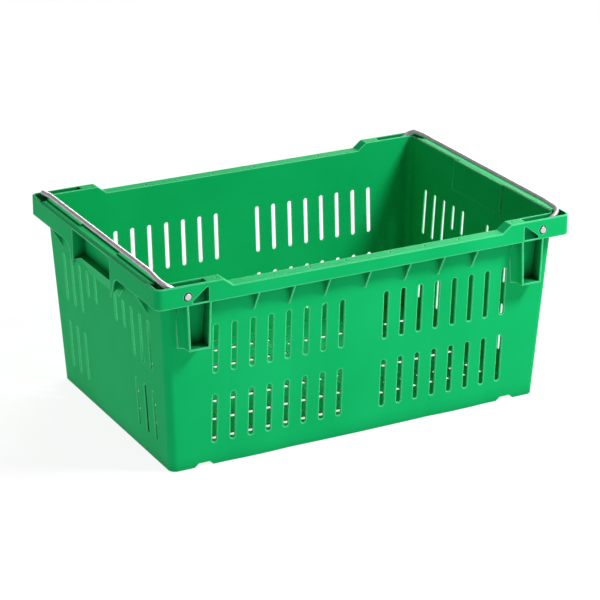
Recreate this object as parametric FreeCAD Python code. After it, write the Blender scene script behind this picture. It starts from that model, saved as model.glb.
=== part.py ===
import FreeCAD, Part
import math
import os

# Vented agricultural stacking crate with two swing bails.  Millimetres, +Z up.
# Origin: centre of the footprint, on the ground.  +X runs along the long side.

os.makedirs("parts", exist_ok=True)
Vector = FreeCAD.Vector

# ---------------------------------------------------------------- driving dimensions
LENGTH = 600.0
WIDTH = 404.5
HEIGHT = 262.6

WALL = 2.6
FOOT_INSET = 28.8          # wall outer face to the rim's outer face, at the ground
TOP_INSET = 14.3           # the same at the full height
WALL_CORNER_R = 10.0

FLOOR_UNDERSIDE = 6.0
FLOOR_THICKNESS = 3.0
FLOOR_PITCH = 26.0
FLOOR_HOLE = 11.5
FLOOR_HOLE_R = 2.0
FLOOR_COLUMNS = 19
FLOOR_ROWS = 12

SKIRT_DEPTH = 27.9
SKIRT_THICKNESS = 2.5
SKIRT_CORNER_R = 9.0
FLANGE = 2.5
RIM_EDGE = 0.9             # chamfer on the rim's top and bottom edges
LOW_RIM_DROP = 10.2        # the middle of each long side is lower by this
LOW_RIM_END = 195.7        # half length of the low stretch
PAD_INNER_END = 208.7      # the raised pads run outwards from here...
PAD_OUTER_END = 230.8      # ...to the open channel
END_LEDGE_DROP = 2.0
END_LEDGE_INNER = 288.3    # edge of the raised bead on top of the end wall
CORNER_PIT_Y = 170.4       # the end ledge stops here, beside the open corner pit

SLOT_FIRST = 32.3
SLOT_PITCH = 25.55
SLOT_WIDTH = 6.4
SLOT_CHAMFER = 0.8
SIDE_SLOTS = 8
LOWER_ROW = (31.0, 98.5)
UPPER_ROW = (129.0, 196.0)
END_LONG_SLOTS = 3
END_SHORT_SLOTS = 2
END_SHORT_ROW = (160.0, 196.0)

BOWED_PANELS = ((-104.0, 104.0), (104.0, 192.0), (-192.0, -104.0))
BOW = 1.2                  # how far each panel of the long walls bows outwards
BOW_ENDS_Z = 215.0         # the bow fades out from here up to the rim

GUSSETS_SIDE = (0.0, 58.5, 109.0, 159.0)
GUSSET_END = 136.0
GUSSET_THICKNESS = 2.2
GUSSET_TIP_Z = 204.0

PIVOT_X = 257.7
PIVOT_Z = 247.5
PIVOT_HOLE_R = 3.35
PIVOT_MOUTH_R = 5.9        # recess that the wire's flared end sits in, and its inner end
PIVOT_MOUTH_INNER_R = 5.1
PIVOT_MOUTH_DEPTH = 1.8

POCKET_OUTER = (257.0, 259.2)      # box pocket below each pivot, at its foot and its top
POCKET_INNER = (228.4, 225.8)
POCKET_RIB = 2.3
POCKET_Z = (174.0, 241.0)
POCKET_FILLET = 8.0
WINDOW_INNER = 228.8       # triangular window in the skirt beside the pivot
WINDOW_OUTER = 255.3
WINDOW_Z = (237.1, 258.4)
WINDOW_R = 2.2

HAND_HALF = 60.0           # hand hold in each end
HAND_WEB = 2.5
HAND_FLOOR_Z = 221.0
HAND_PANEL_X = 282.6
HAND_PANEL_STEP = 1.8      # the panel stands this far into the crate
HAND_BEAD_X = 284.0
HAND_LIP_X = 293.5
HAND_LIP_END = 47.0        # the lip flares out from here to the ears...
HAND_LIP_END_Z = 216.0     # ...and drops to this height...
HAND_LIP_FOOT_Z = 212.0    # ...over a foot that rises to this one
HAND_APRON_Z = 198.0
HAND_EAR_Z = 206.0
HAND_ARCH_R = 16.0
HAND_EAR_WIDTH = 8.5

NOTCH_X = 225.2            # foot notches that sit on a bail swung inwards
NOTCH_HALF_FOOT = 13.3
NOTCH_HALF_TOP = 7.5
NOTCH_DEPTH = 5.0

PIN_HOLE_R = 1.6
PIN_HOLES = (32.3, 83.5, 134.2)
PIN_HOLE_PAD = 214.6
PIN_HOLE_Y = 192.3

WIRE_R = 3.25              # bails: 6.5 mm galvanised wire
WIRE_Y = 193.9             # arms run down the middle of the rim channel
WIRE_END_Y = 203.6
WIRE_END_R = 4.4           # flattened end that keeps the wire in its hole
WIRE_END_THICKNESS = 1.4
WIRE_END_CHAMFER = 0.5
ARM_LENGTH = 36.9          # pivot to the corner of the bail
BAIL_REACH = 37.8          # pivot to the crossbar, along the arm
CROSSBAR_LIFT = 3.5        # the crossbar stands this far above the plane of the arms
CROSSBAR_HALF = 157.0
PIVOT_BEND_R = 5.0
CORNER_BEND_R = 13.0
CRANK_BEND_R = 25.0
REST_ANGLE = 32.0          # arms above horizontal, lying out over the end rim

HALF_L = LENGTH / 2
HALF_W = WIDTH / 2
DRAFT = (FOOT_INSET - TOP_INSET) / HEIGHT
SKIRT_BOTTOM = HEIGHT - SKIRT_DEPTH
LOW_RIM_Z = HEIGHT - LOW_RIM_DROP
FLOOR_TOP = FLOOR_UNDERSIDE + FLOOR_THICKNESS
OVERLAP = 0.6              # how far one feature sinks into the next before they fuse


# ---------------------------------------------------------------- geometry helpers
def inset_at(z):
    """Distance from the rim's outer face to the wall's outer face at height z."""
    return FOOT_INSET - DRAFT * z


def wall_x(z):
    return HALF_L - inset_at(z)


def wall_y(z):
    return HALF_W - inset_at(z)


def rounded_rectangle(half_x, half_y, radius, z):
    """Closed wire, counter-clockwise, with round corners."""
    centres = ((1, 1, 0), (-1, 1, 90), (-1, -1, 180), (1, -1, 270))
    edges = []
    last = None
    first = None
    for sx, sy, start in centres:
        centre = Vector(sx * (half_x - radius), sy * (half_y - radius), z)
        arc = Part.makeCircle(radius, centre, Vector(0, 0, 1), start, start + 90)
        begin, end = arc.Vertexes[0].Point, arc.Vertexes[-1].Point
        if last is not None:
            edges.append(Part.makeLine(last, begin))
        else:
            first = begin
        edges.append(arc)
        last = end
    edges.append(Part.makeLine(last, first))
    return Part.Wire(edges)


def rounded_block(half_x, half_y, radius, z_low, z_high):
    face = Part.Face(rounded_rectangle(half_x, half_y, radius, z_low))
    return face.extrude(Vector(0, 0, z_high - z_low))


def drafted_block(offset, z_low, z_high):
    """The wall's drafted outer form between two heights, drawn in by offset."""
    wires = [
        rounded_rectangle(
            wall_x(z) - offset,
            wall_y(z) - offset,
            WALL_CORNER_R - offset,
            z,
        )
        for z in (z_low, z_high)
    ]
    return Part.makeLoft(wires, True, True)


def box(x_range, y_range, z_range):
    (x0, x1), (y0, y1), (z0, z1) = (sorted(r) for r in (x_range, y_range, z_range))
    return Part.makeBox(x1 - x0, y1 - y0, z1 - z0, Vector(x0, y0, z0))


def plate_xz(points, y_from, y_to):
    """Outline of (x, z) points, extruded along Y."""
    corners = [Vector(x, y_from, z) for x, z in points]
    face = Part.Face(Part.makePolygon(corners + corners[:1]))
    return face.extrude(Vector(0, y_to - y_from, 0))


def plate_yz(points, x_from, x_to):
    """Outline of (y, z) points, extruded along X."""
    corners = [Vector(x_from, y, z) for y, z in points]
    face = Part.Face(Part.makePolygon(corners + corners[:1]))
    return face.extrude(Vector(x_to - x_from, 0, 0))


def fuse(shapes):
    return shapes[0].multiFuse(shapes[1:]) if len(shapes) > 1 else shapes[0]


def mirror_x(shape):
    return shape.mirror(Vector(0, 0, 0), Vector(1, 0, 0))


def mirror_y(shape):
    return shape.mirror(Vector(0, 0, 0), Vector(0, 1, 0))


def both_sides(shapes, mirror):
    """The shapes and their mirror images."""
    return shapes + [mirror(s) for s in shapes]


def four_ways(shapes):
    return both_sides(both_sides(shapes, mirror_x), mirror_y)


# ---------------------------------------------------------------- walls and floor
def stadium(width, length, y):
    """Slot outline in the XZ plane at depth y, centred on the origin."""
    r = width / 2
    half = length / 2 - r
    axis = Vector(0, 1, 0)
    corners = [Vector(-r, y, half), Vector(-r, y, -half), Vector(r, y, -half), Vector(r, y, half)]
    bottom = Part.Arc(corners[1], Vector(0, y, -half - r), corners[2]).toShape()
    top = Part.Arc(corners[3], Vector(0, y, half + r), corners[0]).toShape()
    left = Part.makeLine(corners[0], corners[1])
    right = Part.makeLine(corners[2], corners[3])
    return Part.Wire([left, bottom, right, top])


def slot_cutter(z_range):
    """Cuts inwards along +Y from the outer face at y = 0, with a chamfered mouth."""
    length = z_range[1] - z_range[0]
    wide = 4 * SLOT_CHAMFER
    mouth = Part.makeLoft(
        [
            stadium(SLOT_WIDTH + wide, length + wide, -SLOT_CHAMFER),
            stadium(SLOT_WIDTH, length, SLOT_CHAMFER),
        ],
        True,
        True,
    )
    through = Part.Face(stadium(SLOT_WIDTH, length, 0)).extrude(Vector(0, 4 * WALL, 0))
    return mouth.fuse(through)


def placed_slot(cutter, z_range, along, out, turn):
    """Tilts the cutter to the wall's draft and carries it to its wall."""
    middle = sum(z_range) / 2
    slot = cutter.copy()
    slot.rotate(Vector(0, 0, 0), Vector(1, 0, 0), math.degrees(math.atan(DRAFT)))
    slot.translate(Vector(along, -out(middle), middle))
    slot.rotate(Vector(0, 0, 0), Vector(0, 0, 1), turn)
    return slot


def bow_at(x):
    """How far the long wall's outer face bows out at x."""
    for start, end in BOWED_PANELS:
        if start < x < end:
            off_centre = (x - (start + end) / 2) / ((end - start) / 2)
            return BOW * (1 - off_centre ** 2)
    return 0.0


def slot_cutters():
    cutters = []
    for row in (LOWER_ROW, UPPER_ROW):
        cutter = slot_cutter(row)
        for i in range(SIDE_SLOTS):
            along = SLOT_FIRST + i * SLOT_PITCH
            out = lambda z, bow=bow_at(along): wall_y(z) + bow
            for side in (-1, 1):
                for turn in (0, 180):
                    cutters.append(placed_slot(cutter, row, side * along, out, turn))
    end_rows = (
        (LOWER_ROW, range(END_SHORT_SLOTS, END_SHORT_SLOTS + END_LONG_SLOTS)),
        (UPPER_ROW, range(END_SHORT_SLOTS, END_SHORT_SLOTS + END_LONG_SLOTS)),
        (END_SHORT_ROW, range(END_SHORT_SLOTS)),
    )
    for row, places in end_rows:
        cutter = slot_cutter(row)
        for i in places:
            along = SLOT_FIRST + i * SLOT_PITCH
            for side in (-1, 1):
                for turn in (90, 270):
                    cutters.append(placed_slot(cutter, row, side * along, wall_x, turn))
    return cutters


def bowed_panel(start_x, end_x, offset, z_low, z_top, backing):
    """One bowed panel of the front wall: the sliver between its chord and its arc."""
    wires = []
    middle_x = (start_x + end_x) / 2
    for z, bow in ((z_low, BOW), (BOW_ENDS_Z, BOW), (z_top, BOW / 10)):
        y = -(wall_y(z) - offset)
        start = Vector(start_x, y, z)
        end = Vector(end_x, y, z)
        back_end = Vector(end_x, y + backing, z)
        back_start = Vector(start_x, y + backing, z)
        arc = Part.Arc(start, Vector(middle_x, y - bow, z), end).toShape()
        lines = [(end, back_end), (back_end, back_start), (back_start, start)]
        wires.append(Part.Wire([arc] + [Part.makeLine(a, b) for a, b in lines]))
    return Part.makeLoft(wires, True, True)


def foot_notch():
    """A trapezoid under the long walls, cut right across the crate."""
    points = (
        (NOTCH_X - NOTCH_HALF_FOOT, 0.0),
        (NOTCH_X + NOTCH_HALF_FOOT, 0.0),
        (NOTCH_X + NOTCH_HALF_TOP, NOTCH_DEPTH),
        (NOTCH_X - NOTCH_HALF_TOP, NOTCH_DEPTH),
    )
    return plate_xz(points, -HALF_W, HALF_W)


def floor_plate():
    half_x = wall_x(FLOOR_UNDERSIDE) - WALL + OVERLAP
    half_y = wall_y(FLOOR_UNDERSIDE) - WALL + OVERLAP
    outline = rounded_rectangle(half_x, half_y, WALL_CORNER_R - WALL, FLOOR_UNDERSIDE)
    wires = [outline]
    for column in range(FLOOR_COLUMNS):
        x = (column - (FLOOR_COLUMNS - 1) / 2) * FLOOR_PITCH
        for row in range(FLOOR_ROWS):
            y = (row - (FLOOR_ROWS - 1) / 2) * FLOOR_PITCH
            hole = rounded_rectangle(FLOOR_HOLE / 2, FLOOR_HOLE / 2, FLOOR_HOLE_R, FLOOR_UNDERSIDE)
            hole.translate(Vector(x, y, 0))
            hole.reverse()
            wires.append(hole)
    return Part.Face(wires).extrude(Vector(0, 0, FLOOR_THICKNESS))


# ---------------------------------------------------------------- rim
def chamfered_ring(z_low, z_high):
    """The skirt all round, chamfered along its outer top and bottom edges."""
    def outer(z, inset):
        return rounded_rectangle(HALF_L - inset, HALF_W - inset, SKIRT_CORNER_R - inset, z)

    sections = (
        (z_low, RIM_EDGE),
        (z_low + RIM_EDGE, 0.0),
        (z_high - RIM_EDGE, 0.0),
        (z_high, RIM_EDGE),
    )
    layers = []
    for (z0, inset0), (z1, inset1) in zip(sections, sections[1:]):
        layers.append(Part.makeLoft([outer(z0, inset0), outer(z1, inset1)], True, True))
    solid = fuse(layers).removeSplitter()
    hollow = rounded_block(
        HALF_L - SKIRT_THICKNESS,
        HALF_W - SKIRT_THICKNESS,
        SKIRT_CORNER_R - SKIRT_THICKNESS,
        z_low - 1,
        z_high + 1,
    )
    return solid.cut(hollow)


def rim_profile(drop, x_out):
    """Top line of a long side from one channel to the other, drop below the surface."""
    high = HEIGHT - drop
    low = LOW_RIM_Z - drop
    return [(-x_out, high), (-PAD_INNER_END, high), (-LOW_RIM_END, low),
            (LOW_RIM_END, low), (PAD_INNER_END, high), (x_out, high)]


def side_flange():
    """Closed top of one long side: low middle, sloped steps and raised pads."""
    top = rim_profile(0, PAD_OUTER_END)
    bottom = rim_profile(FLANGE, PAD_OUTER_END)
    inner = wall_y(LOW_RIM_Z) - OVERLAP
    return plate_xz(top + bottom[::-1], -(HALF_W - SKIRT_THICKNESS + OVERLAP), -inner)


def low_rim_relief():
    """Everything above the low middle of the long sides."""
    return plate_xz(rim_profile(0, PAD_INNER_END)[1:-1], -HALF_W - 1, HALF_W + 1)


def low_rim_edges():
    """Chamfers along the outer edge of one long side's low middle and its two steps."""
    line = rim_profile(0, PAD_INNER_END)[1:-1]
    cuts = []
    for (x0, z0), (x1, z1) in zip(line, line[1:]):
        profile = [
            Vector(x0, -HALF_W - 1, z0 - RIM_EDGE - 1),
            Vector(x0, -HALF_W + RIM_EDGE, z0),
            Vector(x0, -HALF_W + RIM_EDGE, z0 + 1),
            Vector(x0, -HALF_W - 1, z0 + 1),
        ]
        face = Part.Face(Part.makePolygon(profile + profile[:1]))
        cuts.append(face.extrude(Vector(x1 - x0, 0, z1 - z0)))
    return cuts


def side_ribs():
    """Gussets and the end walls of one quadrant's channel."""
    shapes = []
    half = GUSSET_THICKNESS / 2
    outer = -(HALF_W - SKIRT_THICKNESS + OVERLAP)
    for x in GUSSETS_SIDE:
        points = [
            (outer, LOW_RIM_Z - FLANGE + OVERLAP),
            (outer, SKIRT_BOTTOM),
            (-HALF_W + RIM_EDGE, SKIRT_BOTTOM),
            (-wall_y(GUSSET_TIP_Z) + OVERLAP, GUSSET_TIP_Z),
            (-wall_y(LOW_RIM_Z) + OVERLAP, LOW_RIM_Z - FLANGE + OVERLAP),
        ]
        shapes.append(plate_yz(points, x - half, x + half))
    return shapes


def end_gusset():
    outer = -(HALF_L - SKIRT_THICKNESS + OVERLAP)
    top = HEIGHT - END_LEDGE_DROP - FLANGE + OVERLAP
    points = [
        (outer, top),
        (outer, SKIRT_BOTTOM),
        (-HALF_L + RIM_EDGE, SKIRT_BOTTOM),
        (-wall_x(GUSSET_TIP_Z) + OVERLAP, GUSSET_TIP_Z),
        (-wall_x(top) + OVERLAP, top),
    ]
    half = GUSSET_THICKNESS / 2
    return plate_xz(points, -GUSSET_END - half, -GUSSET_END + half)


def end_ledge():
    """Closed top of one end: a raised bead on the wall, then the ledge the bail lies over."""
    top = HEIGHT - END_LEDGE_DROP
    inner = -(wall_x(top) - OVERLAP)
    ledge = box(
        (-(HALF_L - SKIRT_THICKNESS + OVERLAP), inner),
        (-CORNER_PIT_Y, CORNER_PIT_Y),
        (top - FLANGE, top),
    )
    bead = box((-END_LEDGE_INNER, inner), (HAND_HALF, CORNER_PIT_Y), (top - OVERLAP, HEIGHT))
    return [ledge, bead, mirror_y(bead)]


def end_skirt_relief():
    """Lowers one end's skirt to its ledge, with a chamfered outer edge."""
    top = HEIGHT - END_LEDGE_DROP
    outline = [
        (-HALF_L - 1, top - RIM_EDGE - 1),
        (-HALF_L + RIM_EDGE, top),
        (-END_LEDGE_INNER, top),
        (-END_LEDGE_INNER, HEIGHT + 1),
        (-HALF_L - 1, HEIGHT + 1),
    ]
    return plate_xz(outline, -CORNER_PIT_Y, CORNER_PIT_Y)


# ---------------------------------------------------------------- hand hold (one end)
def hand_opening():
    """Removes the skirt between the two webs."""
    return box(
        (-HALF_L - 1, -(HALF_L - SKIRT_THICKNESS - 0.01)),
        (-HAND_HALF, HAND_HALF),
        (SKIRT_BOTTOM - 1, HEIGHT - END_LEDGE_DROP - FLANGE),
    )


def inner_x(z):
    """Inner face of the end wall."""
    return wall_x(z) - WALL


def hand_panel():
    """Back panel of the finger recess, standing slightly into the crate."""
    x_panel = -HAND_PANEL_X
    ledge = HEIGHT - END_LEDGE_DROP
    step_z = HAND_FLOOR_Z - 2 * HAND_PANEL_STEP
    outline = [
        (-inner_x(HEIGHT) + HAND_PANEL_STEP, HEIGHT),
        (-HAND_BEAD_X, HEIGHT),
        (-HAND_BEAD_X, ledge),
        (-END_LEDGE_INNER - OVERLAP, ledge),
        (-END_LEDGE_INNER - OVERLAP, ledge - FLANGE),
        (x_panel, ledge - FLANGE),
        (x_panel, step_z),
        (-inner_x(step_z), step_z),
        (-inner_x(HAND_FLOOR_Z) + HAND_PANEL_STEP, HAND_FLOOR_Z),
    ]
    return plate_xz(outline, -HAND_HALF - HAND_WEB, HAND_HALF + HAND_WEB)


def apron_section(y, x_lip, z_lip, z_foot):
    """Outline of the solid below the finger recess: floor, lip and apron down to the wall."""
    corners = [
        Vector(-inner_x(z_foot) - WALL / 2, y, z_foot),
        Vector(-inner_x(HAND_FLOOR_Z) - WALL / 2, y, HAND_FLOOR_Z),
        Vector(x_lip, y, z_lip),
        Vector(-wall_x(z_foot), y, z_foot),
    ]
    return Part.makePolygon(corners + corners[:1])


def hand_apron():
    """The apron between its flared ends, and one of those ends blending into an ear."""
    straight = apron_section(-HAND_LIP_END, -HAND_LIP_X, HAND_FLOOR_Z, HAND_APRON_Z)
    at_ear = apron_section(
        -HAND_HALF - OVERLAP, -HALF_L + OVERLAP, HAND_LIP_END_Z, HAND_LIP_FOOT_Z
    )
    middle = Part.Face(straight).extrude(Vector(0, 2 * HAND_LIP_END, 0))
    end = Part.makeLoft([straight, at_ear], True, True)
    return [middle, end, mirror_y(end)]


def hand_wall_relief():
    """Takes the plain wall away where the panel replaces it."""
    return box(
        (-END_LEDGE_INNER, -(HAND_PANEL_X - 3 * WALL)),
        (-HAND_HALF, HAND_HALF),
        (HAND_FLOOR_Z, HEIGHT + 1),
    )


def hand_web():
    """Side of the recess: a plate from the wall out to the skirt, and its ear."""
    top = HEIGHT - END_LEDGE_DROP - FLANGE + OVERLAP
    outer = -HALF_L
    half_wall = WALL / 2
    outline = [
        (outer, top),
        (outer, HAND_EAR_Z),
        (outer + 4, HAND_LIP_FOOT_Z),
        (outer + 8, HAND_LIP_FOOT_Z + 3),
        (-inner_x(HAND_LIP_FOOT_Z) - half_wall, HAND_LIP_FOOT_Z + 3),
        (-inner_x(top) - half_wall, top),
    ]
    web = plate_xz(outline, -HAND_HALF - HAND_WEB, -HAND_HALF)
    arch_y = -HAND_HALF - HAND_EAR_WIDTH
    centre = Vector(-HALF_L, arch_y - HAND_ARCH_R, SKIRT_BOTTOM + RIM_EDGE - HAND_ARCH_R)
    corner = Vector(-HALF_L, -HAND_HALF, SKIRT_BOTTOM + RIM_EDGE)
    arc_top = Vector(-HALF_L, centre.y, corner.z)
    arc_side = Vector(-HALF_L, arch_y, centre.z)
    bend = HAND_ARCH_R * math.sqrt(0.5)
    arc_middle = Vector(-HALF_L, centre.y + bend, centre.z + bend)
    tip_out = Vector(-HALF_L, -HAND_HALF - HAND_WEB, HAND_EAR_Z)
    tip_in = Vector(-HALF_L, -HAND_HALF, HAND_EAR_Z)
    ear_outline = Part.Wire(
        [
            Part.makeLine(corner, arc_top),
            Part.Arc(arc_top, arc_middle, arc_side).toShape(),
            Part.makeLine(arc_side, tip_out),
            Part.makeLine(tip_out, tip_in),
            Part.makeLine(tip_in, corner),
        ]
    )
    ear = Part.Face(ear_outline).extrude(Vector(SKIRT_THICKNESS, 0, 0))
    return web.fuse(ear)


# ---------------------------------------------------------------- pivots (one quadrant)
def pocket_rib(face_x, outward):
    """Leaning rib from the wall to the skirt, blended to the wall on its outward side."""
    r = POCKET_FILLET
    bend = r * math.sqrt(0.5)
    y_out = -HALF_W
    y_wall = -wall_y(POCKET_Z[0]) + WALL
    y_start = -wall_y(POCKET_Z[1]) - r + 1.5
    sections = []
    for z, x in zip((POCKET_Z[0], SKIRT_BOTTOM + OVERLAP), face_x):
        start = Vector(x, y_start, z)
        end = Vector(x + outward * r, y_start + r, z)
        middle = Vector(end.x - outward * bend, y_start + bend, z)
        other_x = x - outward * POCKET_RIB
        corners = [
            end,
            Vector(end.x, y_wall, z),
            Vector(other_x, y_wall, z),
            Vector(other_x, y_out, z),
            Vector(x, y_out, z),
            start,
        ]
        edges = [Part.Arc(start, middle, end).toShape()]
        edges += [Part.makeLine(a, b) for a, b in zip(corners, corners[1:])]
        sections.append(Part.Wire(edges))
    return Part.makeLoft(sections, True, True)


def pivot_pocket():
    """The two ribs, their stubs behind the skirt and the pocket's bottom plate."""
    outer_x = POCKET_OUTER[1]
    inner_x_top = POCKET_INNER[1]
    inside_y = (-HALF_W + SKIRT_THICKNESS - OVERLAP, -wall_y(POCKET_Z[1]) + OVERLAP)
    outer_stub = box((outer_x - POCKET_RIB, outer_x), inside_y, (SKIRT_BOTTOM, POCKET_Z[1]))
    inner_stub = box(
        (inner_x_top, inner_x_top + POCKET_RIB), inside_y, (SKIRT_BOTTOM, HEIGHT - FLANGE + OVERLAP)
    )
    bottom = box(
        (POCKET_INNER[0], POCKET_OUTER[0]),
        (-HALF_W, -wall_y(POCKET_Z[0]) + OVERLAP),
        (POCKET_Z[0], POCKET_Z[0] + POCKET_RIB),
    )
    ribs = [pocket_rib(POCKET_OUTER, 1), pocket_rib(POCKET_INNER, -1)]
    pocket = fuse(ribs + [outer_stub, inner_stub, bottom])
    return pocket.cut(drafted_block(WALL / 2, 0, HEIGHT))


def skirt_window():
    """Right triangle with rounded corners, upright side towards the middle."""
    points = [(WINDOW_INNER, WINDOW_Z[0]), (WINDOW_OUTER, WINDOW_Z[0]), (WINDOW_INNER, WINDOW_Z[1])]
    window = plate_xz(points, -HALF_W - 1, -HALF_W + SKIRT_THICKNESS + 0.5)
    upright = [e for e in window.Edges if abs(e.tangentAt(e.FirstParameter).y) > 0.99]
    return window.makeFillet(WINDOW_R, upright)


def pivot_hole():
    """Recessed hole through the skirt for the bent end of a bail."""
    mouth = Vector(PIVOT_X, -HALF_W, PIVOT_Z)
    along = Vector(0, 1, 0)
    bore = Part.makeCylinder(PIVOT_HOLE_R, SKIRT_THICKNESS + 1, mouth, along)
    sink = Part.makeCone(PIVOT_MOUTH_R, PIVOT_MOUTH_INNER_R, PIVOT_MOUTH_DEPTH, mouth, along)
    return bore.fuse(sink)


def pin_holes():
    """Small ejector-pin dimples through the flange of one quadrant."""
    places = [(x, LOW_RIM_Z) for x in PIN_HOLES] + [(PIN_HOLE_PAD, HEIGHT)]
    return [
        Part.makeCylinder(PIN_HOLE_R, FLANGE + 2, Vector(x, -PIN_HOLE_Y, z - FLANGE - 1))
        for x, z in places
    ]


# ---------------------------------------------------------------- crate body
def make_shell():
    """Drafted walls with bowed panels along both long sides and their vent slots."""
    outside = [drafted_block(0, 0, HEIGHT)]
    inside = [drafted_block(WALL, -1, HEIGHT + 1)]
    for start_x, end_x in BOWED_PANELS:
        panel = bowed_panel(start_x, end_x, 0, 0, LOW_RIM_Z, OVERLAP)
        hollow = bowed_panel(start_x, end_x, WALL, FLOOR_TOP, LOW_RIM_Z, OVERLAP)
        outside += both_sides([panel], mirror_y)
        inside += both_sides([hollow], mirror_y)
    shell = fuse(outside).cut(fuse(inside))
    return shell.cut(slot_cutters())


def make_crate_body():
    skirt = chamfered_ring(SKIRT_BOTTOM, HEIGHT)
    ends = both_sides(end_ledge() + both_sides([end_gusset()], mirror_y), mirror_x)
    sides = both_sides([side_flange()], mirror_y)
    ribs = []
    for rib in side_ribs():
        ribs += four_ways([rib]) if rib.BoundBox.XMin > 0 else both_sides([rib], mirror_y)
    pockets = four_ways([pivot_pocket()])
    body = make_shell().multiFuse([skirt, floor_plate()] + sides + ends + ribs + pockets)

    end_reliefs = [end_skirt_relief(), hand_opening(), hand_wall_relief()]
    reliefs = [low_rim_relief()] + both_sides(end_reliefs, mirror_x)
    body = body.cut(reliefs + both_sides(low_rim_edges(), mirror_y))
    hand_parts = [hand_panel()] + hand_apron() + both_sides([hand_web()], mirror_y)
    body = body.multiFuse(both_sides(hand_parts, mirror_x))

    openings = four_ways([skirt_window(), pivot_hole()] + pin_holes())
    openings += both_sides([foot_notch()], mirror_x)
    body = body.cut(openings)
    body = body.removeSplitter()
    return max(body.Solids, key=lambda s: s.Volume)


# ---------------------------------------------------------------- bails
def rounded_path(points, radii):
    """Straight runs through the points, each inner corner rounded by its radius."""
    edges = []
    here = points[0]
    for before, corner, after, radius in zip(points, points[1:], points[2:], radii):
        back = (before - corner).normalize()
        ahead = (after - corner).normalize()
        half_turn = back.getAngle(ahead) / 2
        run = radius / math.tan(half_turn)
        start = corner + back * run
        end = corner + ahead * run
        bisector = (back + ahead).normalize()
        middle = corner + bisector * (radius / math.sin(half_turn) - radius)
        edges.append(Part.makeLine(here, start))
        edges.append(Part.Arc(start, middle, end).toShape())
        here = end
    edges.append(Part.makeLine(here, points[-1]))
    return Part.Wire(edges)


def make_bail():
    """The left bail at rest, from one pivot, over the end rim, to the other pivot."""
    half = [
        Vector(0, WIRE_END_Y, 0),
        Vector(0, WIRE_Y, 0),
        Vector(-ARM_LENGTH, WIRE_Y, 0),
        Vector(-BAIL_REACH, CROSSBAR_HALF, CROSSBAR_LIFT),
    ]
    points = half + [Vector(p.x, -p.y, p.z) for p in reversed(half)]
    radii = [PIVOT_BEND_R, CORNER_BEND_R, CRANK_BEND_R]
    path = rounded_path(points, radii + radii[::-1])
    section = Part.Wire(Part.makeCircle(WIRE_R, points[0], Vector(0, 1, 0)))
    wire = path.makePipeShell([section], True, False)
    ends = []
    for side in (-1, 1):
        cap = Part.makeCylinder(
            WIRE_END_R,
            WIRE_END_THICKNESS,
            Vector(0, side * WIRE_END_Y, 0),
            Vector(0, -side, 0),
        )
        rim = [e for e in cap.Edges if e.Curve.TypeId == "Part::GeomCircle"]
        cap = cap.makeChamfer(WIRE_END_CHAMFER, rim)
        ends.append(cap)
    bail = wire.multiFuse(ends).removeSplitter()
    bail.rotate(Vector(0, 0, 0), Vector(0, 1, 0), REST_ANGLE)
    bail.translate(Vector(-PIVOT_X, 0, PIVOT_Z))
    return bail.Solids[0]


# ---------------------------------------------------------------- export
left_bail = make_bail()
nodes = {
    "crate_body": make_crate_body(),
    "left_bail": left_bail,
    "right_bail": mirror_x(left_bail),
}
for name, shape in nodes.items():
    shape.exportStep(f"parts/{name}.step")
    print(name, len(shape.Solids), shape.isValid(), round(shape.Volume), shape.BoundBox)
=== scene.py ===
"""Vented stacking crate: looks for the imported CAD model, in metres and in its frame."""

import math

import bpy
from mathutils import Matrix, Vector

# ---------------------------------------------------------------- camera and light
CAMERA_PLACE = Vector((-1.44448, -2.73456, 1.35655))
CAMERA_AZIMUTH = math.radians(-27.913)
CAMERA_ELEVATION = math.radians(21.719)
CAMERA_ROLL = math.radians(0.1225)
CAMERA_LENS = 147.65
CAMERA_SENSOR = 36.0
FLOOR_SIZE = 40.0
FLOOR_GLOW = 0.88
SKY = 0.25                    # strength of the light all round
PANEL = 7.0                   # strength in the middle of the bright panel
PANEL_TOWARD = (0.746, 0.617, 0.249)
PANEL_EDGE = 0.86             # cosines of the angle from the panel's middle,
PANEL_MIDDLE = 0.985          # where it fades out and where it is full
KEY_PLACE = (0.92, -0.95, 1.40)
KEY_TARGET = (0.0, 0.0, 0.13)
KEY_SIZE = 0.40
KEY_POWER = 26.0
PAINTED_SHADE_REACH = 0.045          # how far away a wall still adds painted shade to the plastic
EDGE_HIGHLIGHT_RADIUS = 0.0018          # width of the painted highlight line along moulded edges


def add_camera():
    a, e = CAMERA_AZIMUTH, CAMERA_ELEVATION
    back = Vector((math.sin(a) * math.cos(e), -math.cos(a) * math.cos(e), math.sin(e)))
    level = Vector((0, 0, 1)).cross(back).normalized()
    upright = back.cross(level)
    right = math.cos(CAMERA_ROLL) * level + math.sin(CAMERA_ROLL) * upright
    up = back.cross(right)
    data = bpy.data.cameras.new("camera")
    data.sensor_width = CAMERA_SENSOR
    data.lens = CAMERA_LENS
    data.clip_start = 0.1
    data.clip_end = 100.0
    camera = bpy.data.objects.new("camera", data)
    turn = Matrix((right, up, back)).transposed()
    camera.matrix_world = Matrix.Translation(CAMERA_PLACE) @ turn.to_4x4()
    bpy.context.scene.collection.objects.link(camera)
    bpy.context.scene.camera = camera


def add_softbox(name, place, target, size, power):
    """A round lamp that faces its target."""
    data = bpy.data.lights.new(name, "AREA")
    data.shape = "DISK"
    data.size = size
    data.energy = power
    light = bpy.data.objects.new(name, data)
    light.location = place
    away = Vector(place) - Vector(target)
    light.rotation_euler = away.to_track_quat("Z", "Y").to_euler()
    bpy.context.scene.collection.objects.link(light)


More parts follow.
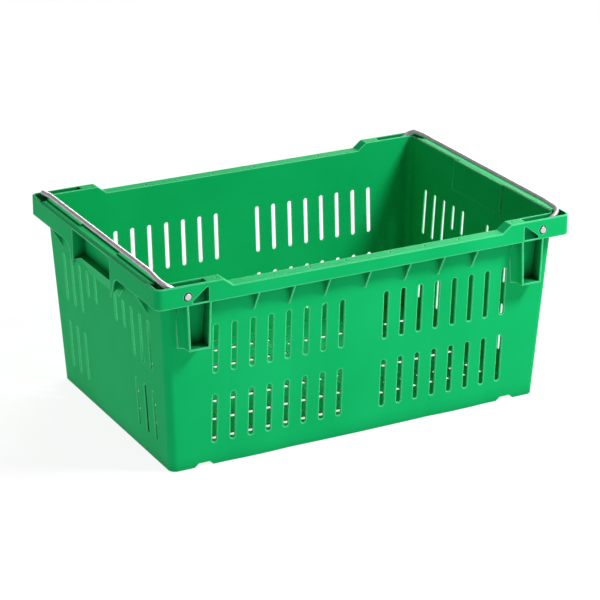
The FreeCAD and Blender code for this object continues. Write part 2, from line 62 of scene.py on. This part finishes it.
def sky_glow(tree):
    """Strength of a soft panel of light behind the crate, fading out all round."""
    direction = tree.nodes.new("ShaderNodeTexCoord")
    facing = tree.nodes.new("ShaderNodeVectorMath")
    facing.operation = "DOT_PRODUCT"
    facing.inputs[1].default_value = PANEL_TOWARD
    fade = tree.nodes.new("ShaderNodeMapRange")
    fade.interpolation_type = "SMOOTHSTEP"
    fade.inputs["From Min"].default_value = PANEL_EDGE
    fade.inputs["From Max"].default_value = PANEL_MIDDLE
    fade.inputs["To Min"].default_value = SKY
    fade.inputs["To Max"].default_value = PANEL
    tree.links.new(direction.outputs["Generated"], facing.inputs[0])
    tree.links.new(facing.outputs["Value"], fade.inputs["Value"])
    return fade.outputs["Result"]


def add_studio():
    world = bpy.data.worlds.new("studio")
    world.use_nodes = True
    background = world.node_tree.nodes["Background"]
    background.inputs["Color"].default_value = (1.0, 1.0, 1.0, 1.0)
    glow = sky_glow(world.node_tree)
    world.node_tree.links.new(glow, background.inputs["Strength"])
    bpy.context.scene.world = world
    add_softbox("key", KEY_PLACE, KEY_TARGET, KEY_SIZE, KEY_POWER)

    bpy.ops.mesh.primitive_plane_add(size=FLOOR_SIZE)
    floor = bpy.context.active_object
    floor.name = "floor"
    floor.data.materials.append(floor_material())
    bpy.context.scene.view_settings.view_transform = "Standard"


# ---------------------------------------------------------------- materials
def new_material(name):
    material = bpy.data.materials.new(name)
    material.use_nodes = True
    tree = material.node_tree
    return material, tree, tree.nodes["Principled BSDF"]


def noise(tree, scale, detail):
    place = tree.nodes.new("ShaderNodeTexCoord")
    node = tree.nodes.new("ShaderNodeTexNoise")
    node.inputs["Scale"].default_value = scale
    node.inputs["Detail"].default_value = detail
    tree.links.new(place.outputs["Object"], node.inputs["Vector"])
    return node.outputs["Fac"]


def ramp(tree, value, stops):
    node = tree.nodes.new("ShaderNodeValToRGB")
    elements = node.color_ramp.elements
    while len(elements) < len(stops):
        elements.new(0.5)
    for element, (position, colour) in zip(elements, stops):
        element.position = position
        element.color = (*colour, 1.0)
    tree.links.new(value, node.inputs["Fac"])
    return node.outputs["Color"]


def spread(tree, value, low, high, start=0.0, end=1.0):
    """The value, carried from start..end to low..high."""
    node = tree.nodes.new("ShaderNodeMapRange")
    node.inputs["From Min"].default_value = start
    node.inputs["From Max"].default_value = end
    node.inputs["To Min"].default_value = low
    node.inputs["To Max"].default_value = high
    tree.links.new(value, node.inputs["Value"])
    return node.outputs["Result"]


def edge_mask(tree, radius, low, high):
    """1 where the surface turns within the radius, 0 on open faces; and the softened normal."""
    bevel = tree.nodes.new("ShaderNodeBevel")
    bevel.samples = 6
    bevel.inputs["Radius"].default_value = radius
    geometry = tree.nodes.new("ShaderNodeNewGeometry")
    compare = tree.nodes.new("ShaderNodeVectorMath")
    compare.operation = "DOT_PRODUCT"
    tree.links.new(bevel.outputs["Normal"], compare.inputs[0])
    tree.links.new(geometry.outputs["Normal"], compare.inputs[1])
    return spread(tree, compare.outputs["Value"], 0.0, 1.0, low, high), bevel.outputs["Normal"]


def blend(tree, factor, first, second):
    """A colour mix. Each end is either a fixed colour or another node's output."""
    node = tree.nodes.new("ShaderNodeMix")
    node.data_type = "RGBA"
    tree.links.new(factor, node.inputs["Factor"])
    for name, colour in (("A", first), ("B", second)):
        if isinstance(colour, tuple):
            node.inputs[name].default_value = (*colour, 1.0)
        else:
            tree.links.new(colour, node.inputs[name])
    return node.outputs["Result"]


def product(tree, first, second):
    node = tree.nodes.new("ShaderNodeMath")
    node.operation = "MULTIPLY"
    tree.links.new(first, node.inputs[0])
    tree.links.new(second, node.inputs[1])
    return node.outputs["Value"]


def add_bump(tree, shader, height, strength, distance, normal=None):
    bump = tree.nodes.new("ShaderNodeBump")
    bump.inputs["Strength"].default_value = strength
    bump.inputs["Distance"].default_value = distance
    tree.links.new(height, bump.inputs["Height"])
    if normal:
        tree.links.new(normal, bump.inputs["Normal"])
    tree.links.new(bump.outputs["Normal"], shader.inputs["Normal"])


def floor_material():
    material, tree, shader = new_material("pale_floor")
    shader.inputs["Roughness"].default_value = 1.0
    shader.inputs["Specular IOR Level"].default_value = 0.0
    shader.inputs["Emission Color"].default_value = (1.0, 1.0, 1.0, 1.0)
    shader.inputs["Emission Strength"].default_value = FLOOR_GLOW
    tint = ramp(tree, noise(tree, 3.0, 2.0), [(0.3, (0.20, 0.20, 0.20)), (0.7, (0.22, 0.22, 0.22))])
    tree.links.new(tint, shader.inputs["Base Color"])
    return material


def green_plastic():
    """Even green, with painted shade darkening the hollows and a painted highlight along the open
    moulded edges.
    """
    material, tree, shader = new_material("green_moulded_plastic")
    shader.inputs["IOR"].default_value = 1.07
    tint = ramp(
        tree,
        noise(tree, 9.0, 4.0),
        [(0.3, (0.004, 0.455, 0.125)), (0.7, (0.007, 0.505, 0.150))],
    )
    painted_shade_ao = tree.nodes.new("ShaderNodeAmbientOcclusion")
    painted_shade_ao.samples = 8
    painted_shade_ao.inputs["Distance"].default_value = PAINTED_SHADE_REACH
    openness = painted_shade_ao.outputs["AO"]
    # painted shade: the colour is blended toward a near-black green where the AO node finds nearby
    # walls
    with_painted_shade = blend(tree, spread(tree, openness, 0.0, 1.0, 0.12, 0.62), (0.001, 0.050, 0.012), tint)
    # painted highlight: a lighter green along convex moulded edges, kept off concave creases by the
    # AO value
    edge, soft_normal = edge_mask(tree, EDGE_HIGHLIGHT_RADIUS, 0.995, 0.93)
    painted_highlight_mask = product(tree, edge, spread(tree, openness, 0.0, 1.0, 0.42, 0.72))
    with_painted_highlight = blend(tree, painted_highlight_mask, with_painted_shade, (0.20, 0.92, 0.46))
    tree.links.new(with_painted_highlight, shader.inputs["Base Color"])
    tree.links.new(spread(tree, noise(tree, 60.0, 4.0), 0.36, 0.48), shader.inputs["Roughness"])
    add_bump(tree, shader, noise(tree, 700.0, 3.0), 0.10, 0.0004, soft_normal)
    return material


def zinc_wire():
    """Dull plated wire, slightly uneven in colour and gloss."""
    material, tree, shader = new_material("zinc_plated_wire")
    shader.inputs["Metallic"].default_value = 0.6
    tint = ramp(
        tree,
        noise(tree, 120.0, 5.0),
        [(0.3, (0.60, 0.54, 0.58)), (0.7, (0.78, 0.72, 0.76))],
    )
    tree.links.new(tint, shader.inputs["Base Color"])
    tree.links.new(spread(tree, noise(tree, 300.0, 4.0), 0.30, 0.48), shader.inputs["Roughness"])
    add_bump(tree, shader, noise(tree, 1500.0, 2.0), 0.15, 0.0002)
    return material


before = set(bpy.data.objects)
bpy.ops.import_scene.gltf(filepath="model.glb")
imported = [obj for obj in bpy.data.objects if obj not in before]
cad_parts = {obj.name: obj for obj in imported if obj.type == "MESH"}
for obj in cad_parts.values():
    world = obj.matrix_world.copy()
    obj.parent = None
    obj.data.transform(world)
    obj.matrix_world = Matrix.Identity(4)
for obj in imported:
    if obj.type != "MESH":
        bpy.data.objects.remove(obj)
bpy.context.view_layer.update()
finishes = {
    "crate_body": green_plastic(),
    "left_bail": zinc_wire(),
    "right_bail": zinc_wire(),
}
for node, material in finishes.items():
    for material_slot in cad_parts[node].material_slots:
        material_slot.material = material
add_studio()
add_camera()
